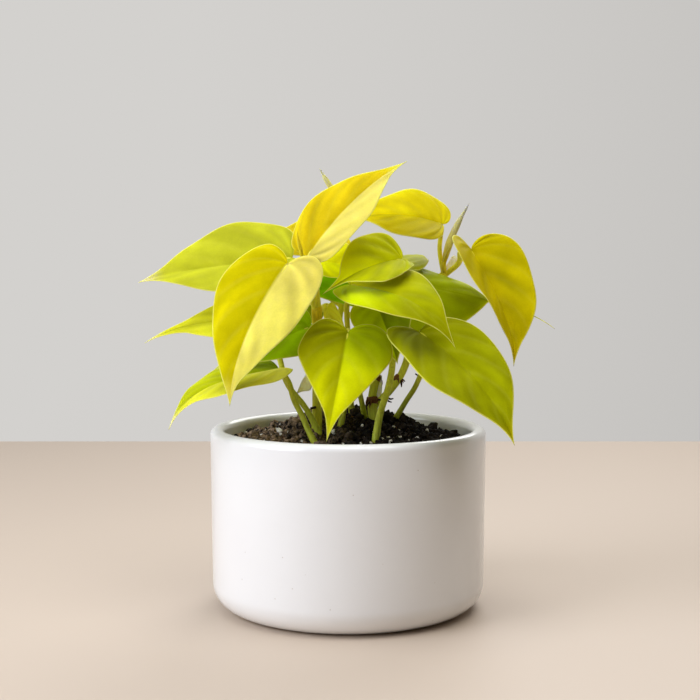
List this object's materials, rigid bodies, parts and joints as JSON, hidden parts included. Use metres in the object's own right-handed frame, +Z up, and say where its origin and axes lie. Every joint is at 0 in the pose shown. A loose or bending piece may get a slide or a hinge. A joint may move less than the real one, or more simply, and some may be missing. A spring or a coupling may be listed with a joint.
{
  "type": "potted golden philodendron",
  "caption": "Small heart-leaf philodendron with golden yellow and lime drip-tipped leaves on thin stalks, rooted in dark potting mix in a round white glazed pot with rounded rim and foot.",
  "frame": {"origin": "centre of the pot's flat underside, on the pot's turning axis", "axes": "+Z up along the pot's axis, -Y towards the front that the picture shows, +X to the right seen from the front"},
  "size_m": [0.1938, 0.1305, 0.2012],
  "materials": {
    "glaze": "smooth white gloss glaze",
    "soil_mix": "dark crumbly potting mix with white perlite grains",
    "leaf_yellow": "waxy golden yellow leaf",
    "leaf_lime": "waxy lime leaf with a pale margin",
    "leaf_green": "waxy green leaf in the plant's inside",
    "stalk_green": "smooth yellow-green stem and leaf stalk",
    "dry_sheath": "dry papery leaf sheath"
  },
  "bodies": {
    "root": {"stem_left": "stalk_green", "stem_inner": "stalk_green", "stem_main": "stalk_green", "stem_back": "stalk_green", "stalk_low_left": "stalk_green", "stalk_left": "stalk_green", "stalk_front": "stalk_green", "stalk_centre": "stalk_green", "stalk_centre_high": "stalk_green", "stalk_front_right": "stalk_green", "leaf_front_left": "leaf_yellow", "leaf_top": "leaf_yellow", "leaf_back_left": "leaf_lime", "leaf_left": "leaf_green", "leaf_low_left": "leaf_lime", "leaf_low_inner": "leaf_green", "leaf_front": "leaf_lime", "leaf_centre_high": "leaf_lime", "leaf_centre": "leaf_lime", "leaf_back_right": "leaf_green", "leaf_front_right": "leaf_lime", "leaf_right": "leaf_yellow", "leaf_top_right": "leaf_yellow", "leaf_behind_top": "leaf_yellow", "leaf_inner_high": "leaf_lime", "leaf_inner": "leaf_green", "leaf_inner_low": "leaf_green", "leaf_small": "leaf_lime", "leaf_back_centre": "leaf_green", "leaf_back_high_left": "leaf_lime", "leaf_back_low_left": "leaf_green", "leaf_back_low_right": "leaf_green", "dried_sheath": "dry_sheath", "rolled_leaf_right": "leaf_yellow", "rolled_leaf_top": "leaf_yellow", "pot": "glaze", "soil": "soil_mix"}
  },
  "joints": []
}
